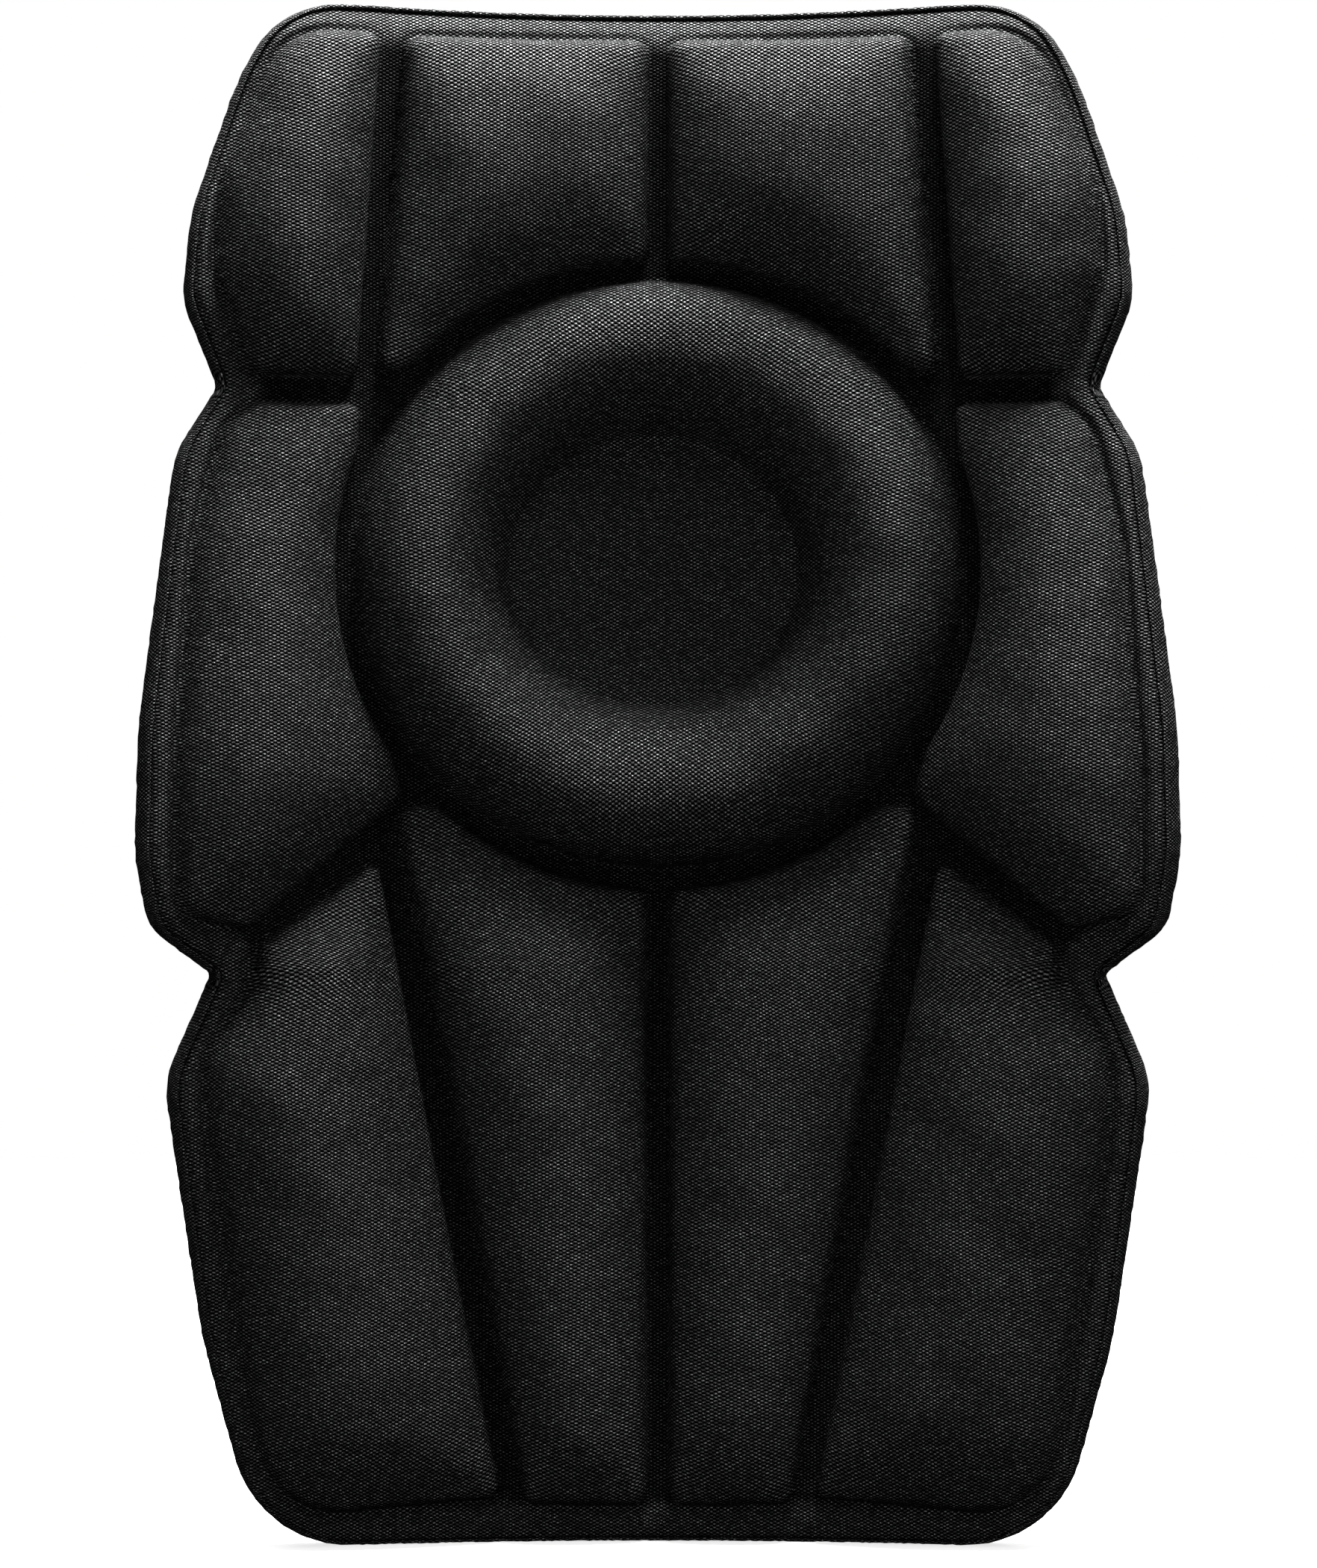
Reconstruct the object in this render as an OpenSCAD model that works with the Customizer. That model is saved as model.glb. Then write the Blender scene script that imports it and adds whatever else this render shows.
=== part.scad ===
// Moulded knee pad insert: separate foam blocks on a base foam, under one stretched knit face,
// bonded to a foam back that is wrapped in the same knit. It stands on its bottom edge and
// curves gently round the leg, with its padded face towards -Y.

/* [Outline] */
// Height of the pad from its bottom edge to its top corners
pad_h = 250; // [230:5:270]
// Width across the side pads, measured along the curve
flat_w = 170; // [160:2:180]

/* [Curve round the leg] */
// Bend radius at the height of the knee
mid_r = 150; // [140:5:200]
// Bend radius at the top and bottom edges
end_r = 220; // [200:10:300]

/* [Layers] */
// Thickness of the knit fabric
knit_t = 0.6; // [0.4:0.1:0.8]
// Thickness of the base foam that the pads stand on
base_foam_t = 2; // [1.6:0.2:2.6]
// Thickness of the bonding film
film_t = 0.3; // [0.2:0.1:0.4]
// Thickness of the back foam
back_t = 3; // [2.4:0.2:4]
// How far the back stands out past the face all round
back_step = 0.8; // [0.4:0.2:1.2]

/* [Pads] */
// Height of the pads above the flange
pad_rise = 10; // [8:0.5:11]
// Height of the knee ring above the flange
ring_rise = 12; // [10:0.5:13]
// Width of the knee ring, measured along the curve
ring_w = 100.6; // [96:0.2:102]
// Height of the knee ring, from bottom to top
ring_h = 95.6; // [92:0.2:97]
// Width of the knee cup's flat floor
cup_w = 47.2; // [42:0.2:50]
// Height of the knee cup's flat floor
cup_h = 43.6; // [40:0.2:46]
// Width of the channel between the ring and the pads
ring_gap = 3.2; // [3:0.2:3.6]

/* [Hidden] */

knit_color = [0.07, 0.07, 0.08];
foam_color = [0.24, 0.25, 0.27];
film_color = [0.02, 0.02, 0.02];

// The outlines below are drawn on the pad laid flat at its nominal size, for the right-hand half:
// each corner is [across, up, corner radius], and grow() stretches them to the size set above.
nominal_w = 170;
nominal_h = 250;
knee_z = 157.6 * pad_h / nominal_h;
top_dip = 1;
dip_half_w = 47;
columns = 8;
arc_step = 40;
ring_steps = 36;

edge_corners = [
    [64.5, 0, 18], [73.4, 33, 70], [79.9, 75, 12], [71.9, 93, 2.5], [83, 101, 6], [85.3, 112, 20],
    [84.8, 132, 70], [78.2, 176.5, 14], [70.9, 188, 4], [76.8, 202.5, 10], [75.4, 216, 30],
    [67.6, 238.5, 40], [61, 250, 14]
];
upper_outer_corners = [
    [45.3, 245, 2], [61, 245.6, 12], [71.8, 221, 20], [72.8, 206, 10], [67, 189.2, 2], [49.6, 188.9, 2.5]
];
upper_inner_top = [[1.7, 245.2, 2.5], [41.2, 244.9, 3], [46.4, 189.2, 2.2]];
side_outer = [
    [48.8, 184.9, 2], [66.5, 184.9, 2], [71.6, 180.4, 8], [77, 162, 40], [80.7, 125, 60],
    [80, 102.6, 5], [68.8, 99.9, 3], [42, 121.4, 2.2]
];
lower_outer_corners = [
    [46.4, 111.6, 1.8], [66.9, 97.6, 2], [67.3, 91.2, 7], [74.9, 79.8, 7], [74.4, 69, 40],
    [66, 18.5, 30], [63, 4.8, 14], [25.6, 7.4, 2]
];
lower_inner_bottom = [[43.8, 120.3, 3.5], [33, 68, 60], [21.9, 6.3, 2.5], [1.7, 5.9, 2.5]];

// A pad's profile: how far in from its edge each loop lies, and the share of its rise there.
dome_profile = [[1, 0.36], [2.8, 0.68], [6, 0.9], [10, 1]];
// The ring's profile: how far across the ring from outside to inside, and the share of its rise.
ring_profile = [[0.03, 0.38], [0.14, 0.75], [0.42, 1], [0.62, 0.91], [0.82, 0.58], [0.97, 0.12]];

// Heights of the layers' front faces, measured towards the wearer from the front of the flange
base_foam_h = -knit_t;
film_h = base_foam_h - base_foam_t;
back_foam_h = film_h - film_t;
back_knit_h = back_foam_h - back_t;
back_h = back_knit_h - knit_t;

// Curving the flat pattern: the radius varies smoothly from the knee to the two ends. A point
// of the flat pattern is [across, up, height towards the wearer].
function bend_r(w) =
    1 / (1 / end_r + (1 / mid_r - 1 / end_r) * exp(-pow((w / pad_h - 0.5) * nominal_h / 70, 2)));
function dip(u, w) =
    top_dip * pow(max(0, 2 * w / pad_h - 1), 6) * max(0, 1 - pow(u / dip_half_w, 2));
function curve(p) =
    let(r = bend_r(p[1]), turn = p[0] / r * 180 / PI)
    [(r - p[2]) * sin(turn), (r - p[2]) * cos(turn) - r, p[1] - dip(p[0], p[1])];

function grow(p) = [p[0] * flat_w / nominal_w, p[1] * pad_h / nominal_h, p[2]];
function unit(v) = v / norm(v);
function xy(p) = [p[0], p[1]];

// The arc that rounds one corner of an outline, as points from its start to its end
function corner_arc(before, corner, after) =
    let(
        a = unit(xy(before) - xy(corner)),
        b = unit(xy(after) - xy(corner)),
        half = acos(max(-1, min(1, a * b))) / 2,
        reach = corner[2] / tan(half),
        centre = xy(corner) + unit(a + b) * corner[2] / sin(half),
        start = xy(corner) + a * reach - centre,
        turn = (180 - 2 * half) * (a[0] * b[1] - a[1] * b[0] > 0 ? -1 : 1),
        steps = max(1, ceil(abs(turn) / arc_step))
    )
    corner[2] == 0 ? [xy(corner)] :
    [for (i = [0:steps]) let(t = turn * i / steps)
        centre + [start[0] * cos(t) - start[1] * sin(t), start[0] * sin(t) + start[1] * cos(t)]];
function rounded(corners) =
    let(n = len(corners), c = [for (p = corners) grow(p)])
    [for (i = [0:n - 1]) each corner_arc(c[(i + n - 1) % n], c[i], c[(i + 1) % n])];

// Corner points that follow the ring at the channel's width, from one clock angle to another
function round_ring(from, to, steps) =
    [for (i = [0:steps]) let(t = from + (to - from) * i / steps)
        [(ring_w / 2 + ring_gap) * sin(t) * nominal_w / flat_w,
         (knee_z + (ring_h / 2 + ring_gap) * cos(t)) * nominal_h / pad_h, 0]];

upper_outer = rounded(upper_outer_corners);
upper_inner = rounded(concat(upper_inner_top, round_ring(49, 5, 5), [[1.7, 208.4, 1.5]]));
side = rounded(concat(side_outer, round_ring(124, 68, 5)));
lower_outer = rounded(lower_outer_corners);
lower_inner = rounded(concat([[1.7, 106.2, 1.5]], round_ring(175, 138, 4), lower_inner_bottom));

// The pad's edge from bottom to top: [half width, height] of each row of the layers
edge_ends = concat([[0, 0, 0]], edge_corners, [[0, nominal_h, 0]]);
edge_rows = let(c = [for (p = edge_ends) grow(p)])
    [for (i = [1:len(c) - 2]) each corner_arc(c[i - 1], c[i], c[i + 1])];

// The line that each pad's dome closes on
function spine(from, to) = [xy(grow([from[0], from[1], 0])), xy(grow([to[0], to[1], 0]))];
upper_outer_spine = spine([59, 228], [60, 205]);
upper_inner_spine = spine([16, 227], [30, 222]);
side_spine = spine([64, 165], [65, 122]);
lower_outer_spine = spine([56, 85], [48, 24]);
lower_inner_spine = spine([18, 90], [12, 22]);

// An outline moved outwards by d along its own normals
function offset_outline(outline, d) =
    let(n = len(outline))
    [for (i = [0:n - 1])
        let(v = unit(outline[(i + 1) % n] - outline[(i + n - 1) % n])) outline[i] + d * [-v[1], v[0]]];

// Where a point of the outline is heading as the dome closes: the nearest point of that line
function on_line(p, line) =
    let(v = line[1] - line[0], t = ((p - line[0]) * v) / (v * v))
    line[0] + v * max(0, min(1, t));

// The loops of a pad's dome, drawn on the flat pattern
function dome_loops(outline, line, rise) =
    [for (step = dome_profile)
        [for (p = outline)
            let(goal = on_line(p, line), q = p + (goal - p) * min(0.9, step[0] / norm(goal - p)))
            [q[0], q[1], rise * step[1]]]];

// The origin is midway between the back and the furthest-forward point, which is on a side pad
front_y = min([for (loop = dome_loops(side, side_spine, pad_rise), p = loop) curve(p)[1]]);
middle_y = (front_y - back_h) / 2;
function lay(p) = curve(p) - [0, middle_y, 0];

// A closed solid from loops of points, each inside or above the last, closed with a fan at each end
module loops_solid(loops, first_point, last_point) {
    n = len(loops[0]);
    count = len(loops);
    points = concat([for (loop = loops) each loop], [first_point, last_point]);
    walls = [for (k = [0:count - 2], i = [0:n - 1])
        let(a = k * n + i, b = k * n + (i + 1) % n) each [[a, b, b + n], [a, b + n, a + n]]];
    first_fan = [for (i = [0:n - 1]) [count * n, (i + 1) % n, i]];
    last_fan = [for (i = [0:n - 1]) [count * n + 1, (count - 1) * n + i, (count - 1) * n + (i + 1) % n]];
    polyhedron(points, concat(walls, first_fan, last_fan));
}

// One curved layer between two heights, drawn in from the pad's edge by inset
module layer(low, high, inset) {
    n = columns + 1;
    across = [for (j = [0:columns]) 2 * j / columns - 1];
    shrink = 1 - 2 * inset / pad_h;
    rows = [for (row = edge_rows)
        let(half_w = row[0] - inset, w = pad_h / 2 + (row[1] - pad_h / 2) * shrink)
        concat(
            [for (s = across) lay([half_w * s, w, low])],
            [for (j = [columns:-1:0]) lay([half_w * across[j], w, high])])];
    m = 2 * n;
    count = len(rows);
    walls = [for (k = [0:count - 2], i = [0:m - 1])
        let(a = k * m + i, b = k * m + (i + 1) % m) each [[a, b, b + m], [a, b + m, a + m]]];
    ends = [for (j = [0:columns - 1])
        let(a = j, b = j + 1, c = m - 2 - j, d = m - 1 - j, top = (count - 1) * m)
        each [[a, c, b], [a, d, c], [top + a, top + b, top + c], [top + a, top + c, top + d]]];
    polyhedron([for (row = rows) each row], concat(walls, ends));
}

// A pad: a dome that rises from its outline and closes on its spine
module pad(outline, line, floor_h, rise) {
    middle = (line[0] + line[1]) / 2;
    foot = [for (p = outline) [p[0], p[1], floor_h]];
    loops_solid(
        [for (loop = concat([foot], dome_loops(outline, line, rise))) [for (p = loop) lay(p)]],
        lay([middle[0], middle[1], floor_h]),
        lay([middle[0], middle[1], rise]));
}

module side_of(left) {
    mirror([left ? 1 : 0, 0, 0]) children();
}

// The ring's cross-section at clock angle t, grown outwards by swell
function ring_section(t, floor_h, rise, swell) =
    [for (p = concat([[0, floor_h]], [for (q = ring_profile) [q[0], rise * q[1]]], [[1, floor_h]]))
        let(
            across = (ring_w / 2 + swell) * (1 - p[0]) + (cup_w / 2 - swell) * p[0],
            up = (ring_h / 2 + swell) * (1 - p[0]) + (cup_h / 2 - swell) * p[0]
        )
        lay([across * sin(t), knee_z + up * cos(t), p[1]])];

// The knee ring, as short lengths that each join one cross-section to the next
module ring(floor_h, rise, swell) {
    n = len(ring_profile) + 2;
    ends = [[for (k = [0:n - 1]) k], [for (k = [n - 1:-1:0]) n + k]];
    walls = [for (k = [0:n - 1]) [k, n + k, n + (k + 1) % n, (k + 1) % n]];
    step = 360 / ring_steps;
    for (t = [step:step:360])
        hull() polyhedron(
            concat(
                ring_section(t, floor_h, rise, swell),
                ring_section(t + step, floor_h, rise, swell)),
            concat(ends, walls));
}

// Every pad and the ring, as one set of shapes
module all_pads(floor_h, drop, swell) {
    rise = pad_rise - drop;
    for (left = [true, false]) side_of(left) {
        pad(offset_outline(upper_outer, swell), upper_outer_spine, floor_h, rise);
        pad(offset_outline(upper_inner, swell), upper_inner_spine, floor_h, rise);
        pad(offset_outline(side, swell), side_spine, floor_h, rise);
        pad(offset_outline(lower_outer, swell), lower_outer_spine, floor_h, rise);
        pad(offset_outline(lower_inner, swell), lower_inner_spine, floor_h, rise);
    }
    ring(floor_h, ring_rise - drop, swell);
}

module face_knit() {
    color(knit_color) difference() {
        union() {
            layer(base_foam_h, 0, back_step);
            all_pads(base_foam_h / 2, 0, 0);
        }
        all_pads(base_foam_h - 1, knit_t, -knit_t);
    }
}

module base_foam() {
    color(foam_color) layer(film_h, base_foam_h, back_step);
}

module bond_film() {
    color(film_color) layer(back_foam_h, film_h, 2 * back_step);
}

module back_foam() {
    color(foam_color) layer(back_knit_h, back_foam_h, knit_t);
}

// The back's knit wraps the back foam and turns up round the base foam's edge, as far as the face
module back_knit() {
    color(knit_color) difference() {
        layer(back_h, base_foam_h, 0);
        layer(back_knit_h, base_foam_h + 1, knit_t);
    }
}

module foam_pad(outline, line, left) {
    color(foam_color) side_of(left)
        pad(offset_outline(outline, -knit_t), line, base_foam_h, pad_rise - knit_t);
}

module knee_ring_pad() {
    color(foam_color) ring(base_foam_h, ring_rise - knit_t, -knit_t);
}

module upper_inner_pad(left) {
    foam_pad(upper_inner, upper_inner_spine, left);
}

module upper_outer_pad(left) {
    foam_pad(upper_outer, upper_outer_spine, left);
}

module side_pad(left) {
    foam_pad(side, side_spine, left);
}

module lower_inner_pad(left) {
    foam_pad(lower_inner, lower_inner_spine, left);
}

module lower_outer_pad(left) {
    foam_pad(lower_outer, lower_outer_spine, left);
}

face_knit();
base_foam();
bond_film();
back_foam();
back_knit();
knee_ring_pad();
upper_inner_pad(true);  // upper_inner_left_pad
upper_inner_pad(false);  // upper_inner_right_pad
upper_outer_pad(true);  // upper_outer_left_pad
upper_outer_pad(false);  // upper_outer_right_pad
side_pad(true);  // side_left_pad
side_pad(false);  // side_right_pad
lower_inner_pad(true);  // lower_inner_left_pad
lower_inner_pad(false);  // lower_inner_right_pad
lower_outer_pad(true);  // lower_outer_left_pad
lower_outer_pad(false);  // lower_outer_right_pad
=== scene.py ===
"""Looks of a moulded knee pad insert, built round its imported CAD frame.

The pad is drawn as a flat pattern and then bent round the leg, as it is in the CAD source. A point
of the pattern is (across, up, height towards the wearer), in millimetres; lay() bends it into the
row frame, in metres.
"""

import math

import bpy
import numpy as np
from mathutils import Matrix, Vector


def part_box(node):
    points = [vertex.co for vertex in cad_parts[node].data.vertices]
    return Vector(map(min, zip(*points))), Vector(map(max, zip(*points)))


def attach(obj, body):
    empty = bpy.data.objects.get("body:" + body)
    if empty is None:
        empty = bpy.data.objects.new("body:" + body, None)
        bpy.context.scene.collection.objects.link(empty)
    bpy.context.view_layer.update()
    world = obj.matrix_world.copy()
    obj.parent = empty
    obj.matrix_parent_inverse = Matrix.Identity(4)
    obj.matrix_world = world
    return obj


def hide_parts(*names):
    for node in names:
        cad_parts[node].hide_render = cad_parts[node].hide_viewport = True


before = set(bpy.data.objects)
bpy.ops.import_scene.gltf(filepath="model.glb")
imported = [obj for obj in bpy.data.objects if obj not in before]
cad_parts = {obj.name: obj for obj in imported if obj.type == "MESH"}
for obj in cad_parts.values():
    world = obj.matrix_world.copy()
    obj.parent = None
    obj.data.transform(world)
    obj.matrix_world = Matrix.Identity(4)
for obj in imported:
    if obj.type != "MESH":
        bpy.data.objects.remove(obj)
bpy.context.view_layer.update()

MM = 0.001

# Sizes of the CAD source, in millimetres
PAD_H = 250.0
MID_R = 150.0
END_R = 220.0
KNIT_T = 0.6
BASE_FOAM_T = 2.0
FILM_T = 0.3
BACK_T = 3.0
BACK_STEP = 0.8
PAD_RISE = 10.0
RING_RISE = 12.0
RING_W = 100.6
RING_H = 95.6
CUP_W = 47.2
CUP_H = 43.6
RING_GAP = 3.2
KNEE_Z = 157.6
TOP_DIP = 1.0
DIP_HALF_W = 47.0
BEND_REACH = 70.0

# In the looks alone: how far (across, up) the cup is off the ring's middle, how far the top edge
# curls back, and the stretch below the edge over which it does
CUP_SHIFT = (-0.7, 0.5)
TOP_CURL = 2.2
CURL_RUN = 7.5

# Heights of the layers' front faces above the front of the flange
BASE_FOAM_H = -KNIT_T
FILM_H = BASE_FOAM_H - BASE_FOAM_T
BACK_FOAM_H = FILM_H - FILM_T
BACK_KNIT_H = BACK_FOAM_H - BACK_T
BACK_H = BACK_KNIT_H - KNIT_T

# The back's outermost plane is where the CAD has it, which places the whole pattern
MIDDLE_Y = -BACK_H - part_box("back_knit")[1].y / MM

# The flange: its width, the height of its crown, the depth of the groove at the pads' feet, and the
# run and drop of its rounded edge
FLANGE_W = 4.4
FLANGE_CROWN = 0.35
FOOT_GROOVE = 0.5
EDGE_RUN = 0.9
EDGE_DROP = 0.4

# How far back the flange's edge is rolled, how much more at the top, and from which height that
# grows and over which run
SIDE_ROLL = 0.5
TOP_ROLL = 1.1
TOP_ROLL_FROM = 222
TOP_ROLL_RUN = 20

# A pad's wall beside its edge, and the share of the rise that the wall reaches
WALL_RUN = 1.7
STEEP_SHOULDER = 0.32
SOFT_SHOULDER = 0.18

# Outline corners of the right-hand half: across, up, corner radius
EDGE_CORNERS = [
    (64.5, 0, 18), (73.4, 33, 70), (79.9, 75, 12), (71.9, 93, 2.5), (83, 101, 6), (85.3, 112, 20),
    (84.8, 132, 70), (78.2, 176.5, 14), (70.9, 188, 4), (76.8, 202.5, 10), (75.4, 216, 30),
    (67.6, 238.5, 40), (61, 250, 14),
]

# The softness of a pad's edge: 0 beside a channel, where the knit is pulled down steeply, to 1
# beside the flange at the sides; the top and bottom edges lie between
STEEP, TOP, BOTTOM, SOFT = 0.0, 0.3, 0.45, 1.0


def round_ring(start, end, steps):
    """Corners that follow the ring at the channel's width, between two clock angles in degrees."""
    corners = []
    for i in range(steps + 1):
        t = math.radians(start + (end - start) * i / steps)
        across = (RING_W / 2 + RING_GAP) * math.sin(t)
        up = KNEE_Z + (RING_H / 2 + RING_GAP) * math.cos(t)
        corners.append((across, up, 0, STEEP))
    return corners


# Each pad's corners are (across, up, corner radius, softness of the edge that leaves the corner),
# and its spine is the line that the loops of its foam block close on.
PADS = {
    "upper_outer": (
        [(45.3, 245, 2, TOP), (61, 245.6, 12, SOFT), (71.8, 221, 20, SOFT), (72.8, 206, 10, SOFT),
         (67, 189.2, 2, STEEP), (49.6, 188.9, 2.5, STEEP)],
        ((59, 228), (60, 205)),
    ),
    "upper_inner": (
        [(1.7, 245.2, 2.5, TOP), (41.2, 244.9, 3, STEEP), (46.4, 189.2, 2.2, STEEP)]
        + round_ring(49, 5, 12) + [(1.7, 208.4, 1.5, STEEP)],
        ((16, 227), (30, 222)),
    ),
    "side": (
        [(48.8, 184.9, 2, STEEP), (66.5, 184.9, 2, SOFT), (71.6, 180.4, 8, SOFT),
         (77, 162, 40, SOFT), (80.7, 125, 60, SOFT), (80, 102.6, 5, STEEP),
         (68.8, 99.9, 3, STEEP), (42, 121.4, 2.2, STEEP)]
        + round_ring(124, 68, 14),
        ((64, 165), (65, 122)),
    ),
    "lower_outer": (
        [(46.4, 111.6, 1.8, STEEP), (66.9, 97.6, 2, STEEP), (67.3, 91.2, 7, SOFT),
         (74.9, 79.8, 7, SOFT), (74.4, 69, 40, SOFT), (66, 18.5, 30, SOFT),
         (63, 4.8, 14, BOTTOM), (25.6, 7.4, 2, STEEP)],
        ((56, 85), (48, 24)),
    ),
    "lower_inner": (
        [(1.7, 106.2, 1.5, STEEP)] + round_ring(175, 138, 10)
        + [(43.8, 120.3, 3.5, STEEP), (33, 68, 60, STEEP)]
        + [(21.9, 6.3, 2.5, BOTTOM), (1.7, 5.9, 2.5, STEEP)],
        ((18, 90), (12, 22)),
    ),
}


# ---------------------------------------------------------------- the flat pattern and its bend


def bend_radius(up):
    """The radius of the bend round the leg: least half way up, growing towards both ends."""
    knee = np.exp(-(((up / PAD_H - 0.5) * PAD_H / BEND_REACH) ** 2))
    return 1 / (1 / END_R + (1 / MID_R - 1 / END_R) * knee)


def top_dip(across, up):
    """How much lower the middle of the top edge is than its corners."""
    near_top = np.maximum(0, 2 * up / PAD_H - 1) ** 6
    return TOP_DIP * near_top * np.maximum(0, 1 - (across / DIP_HALF_W) ** 2)


def lay(across, up, height):
    """Points of the pattern bent round the leg, in the row frame, in metres."""
    r = bend_radius(up)
    turn = across / r
    x = (r - height) * np.sin(turn)
    curl = TOP_CURL * np.clip((up - PAD_H) / CURL_RUN + 1, 0, None) ** 2
    y = (r - height) * np.cos(turn) - r - MIDDLE_Y + curl
    z = up - top_dip(across, up)
    return np.stack(np.broadcast_arrays(x, y, z), axis=-1) * MM


def corner_arc(before, corner, after, step_deg=7.0):
    """Points of the arc that rounds one corner, with the softness of the edges on its two sides."""
    a = np.subtract(before[:2], corner[:2])
    b = np.subtract(after[:2], corner[:2])
    a, b = a / np.linalg.norm(a), b / np.linalg.norm(b)
    softness = (before[3] if len(before) > 3 else 0, corner[3] if len(corner) > 3 else 0)
    if corner[2] == 0:
        return [(corner[0], corner[1], softness[1])]
    half = math.acos(float(np.clip(a @ b, -1, 1))) / 2
    centre = np.array(corner[:2]) + (a + b) / np.linalg.norm(a + b) * corner[2] / math.sin(half)
    start = np.array(corner[:2]) + a * corner[2] / math.tan(half) - centre
    turn = (math.pi - 2 * half) * (-1 if a[0] * b[1] - a[1] * b[0] > 0 else 1)
    steps = max(2, math.ceil(abs(math.degrees(turn)) / step_deg))
    arc = []
    for i in range(steps + 1):
        share = i / steps
        t = turn * share
        x = centre[0] + start[0] * math.cos(t) - start[1] * math.sin(t)
        y = centre[1] + start[0] * math.sin(t) + start[1] * math.cos(t)
        arc.append((x, y, softness[0] * (1 - share) + softness[1] * share))
    return arc


def spaced(points, step, closed=False):
    """A line again, with its points about step apart; further columns are carried along."""
    line = np.array(points, float)
    if closed:
        line = np.vstack([line, line[:1]])
    lengths = np.linalg.norm(np.diff(line[:, :2], axis=0), axis=1)
    along = np.concatenate([[0], np.cumsum(lengths)])
    count = max(2, round(along[-1] / step))
    at = np.linspace(0, along[-1], count + 1)
    columns = [np.interp(at, along, line[:, k]) for k in range(line.shape[1])]
    result = np.stack(columns, axis=1)
    return result[:-1] if closed else result


def pad_outline(corners, step):
    """A pad's rounded outline: rows of (across, up, softness)."""
    n = len(corners)
    points = []
    for i in range(n):
        points += corner_arc(corners[i - 1], corners[i], corners[(i + 1) % n])
    return spaced(points, step, closed=True)


def edge_line(step):
    """The right-hand half of the back panel's edge from bottom to top: rows of (half width, up)."""
    ends = [(0, 0, 0)] + EDGE_CORNERS + [(0, PAD_H, 0)]
    points = []
    for i in range(1, len(ends) - 1):
        points += corner_arc(ends[i - 1], ends[i], ends[i + 1])
    return spaced([p[:2] for p in points], step)


# Points that are measured against an outline in one go, which bounds the memory
BATCH = 20000


def distance_to(points, outline):
    """Signed distance from points to a closed outline, positive inside, and the softness there."""
    a = outline[:, :2]
    b = np.roll(a, -1, axis=0)
    ab = b - a
    length2 = (ab**2).sum(1)
    distance = np.empty(len(points))
    softness = np.zeros(len(points))
    inside = np.zeros(len(points), bool)
    for low in range(0, len(points), BATCH):
        batch = slice(low, low + BATCH)
        p = points[batch, None, :]
        t = np.clip(((p - a) * ab).sum(2) / length2, 0, 1)
        away = np.linalg.norm(p - a - t[..., None] * ab, axis=2)
        distance[batch] = away.min(1)
        if outline.shape[1] > 2:
            pull = 1 / (away + 0.4) ** 4
            softness[batch] = (pull * outline[:, 2]).sum(1) / pull.sum(1)
        crosses = (a[:, 1] > p[..., 1]) != (b[:, 1] > p[..., 1])
        with np.errstate(divide="ignore", invalid="ignore"):
            at = a[:, 0] + (p[..., 1] - a[:, 1]) * ab[:, 0] / ab[:, 1]
        inside[batch] = (crosses & (p[..., 0] < at)).sum(1) % 2 == 1
    return np.where(inside, distance, -distance), softness


# ---------------------------------------------------------------- the moulded shape


def smooth_curve(table):
    """A smooth curve through the points of a table of (position, value)."""
    x = np.array([p[0] for p in table], float)
    y = np.array([p[1] for p in table], float)
    slope = np.gradient(y, x)

    def curve(at):
        i = np.clip(np.searchsorted(x, at) - 1, 0, len(x) - 2)
        width = x[i + 1] - x[i]
        t = (at - x[i]) / width
        rising = y[i] * (2 * t**3 - 3 * t**2 + 1) + y[i + 1] * (3 * t**2 - 2 * t**3)
        return rising + width * (slope[i] * (t**3 - 2 * t**2 + t) + slope[i + 1] * (t**3 - t**2))

    return curve


# The knee ring's section: share of the way across from outside to inside, and share of its rise
ring_section = smooth_curve([
    (0, 0), (0.02, 0.28), (0.05, 0.47), (0.1, 0.655), (0.17, 0.81), (0.25, 0.915), (0.34, 0.975),
    (0.44, 1), (0.54, 0.975), (0.64, 0.89), (0.74, 0.745), (0.83, 0.565), (0.91, 0.345),
    (0.96, 0.17), (1, 0),
])

# A grid over the right-hand half of the pattern: its step, its least (across, up), its rows and
# columns, and how far outside a pad's edge that pad's shape is worked out
GRID = 0.5
GRID_LOW = (-4.0, -8.0)
GRID_SHAPE = (532, 192)
MARGIN = 6.0

# How far in from a long edge a pad's dome has nearly two thirds of its rise, and the rounds that
# settle its shape
DOME_REACH = 9.0
DOME_ROUNDS = 2600


def spread(values, known, rounds):
    """The values again, carried outward from where they are known, one grid step a round."""
    values = np.where(known, values, 0.0)
    known = known.astype(float)
    for _ in range(rounds):
        total, count = np.zeros_like(values), np.zeros_like(known)
        for axis in (0, 1):
            for way in (-1, 1):
                total += np.roll(values * known, way, axis)
                count += np.roll(known, way, axis)
        fresh = (known == 0) & (count > 0)
        values = np.where(fresh, total / np.maximum(count, 1), values)
        known = np.where(fresh, 1.0, known)
    return values


def neighbours(values):
    """The mean of each grid point's four neighbours."""
    above_below = np.roll(values, 1, 0) + np.roll(values, -1, 0)
    return (above_below + np.roll(values, 1, 1) + np.roll(values, -1, 1)) / 4


def blurred(values, rounds):
    for _ in range(rounds):
        values = neighbours(values)
    return values


def dome(inside):
    """The shape of a tight skin over the pad, pushed out evenly against soft foam, 0 to 1."""
    rise = np.zeros_like(inside)
    within = inside > 0
    stiffness = 1 + GRID**2 / (4 * DOME_REACH**2)
    for _ in range(DOME_ROUNDS):
        rise = np.where(within, (neighbours(rise) + GRID**2 / 4) / stiffness, 0)
    return rise / rise.max()


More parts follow.
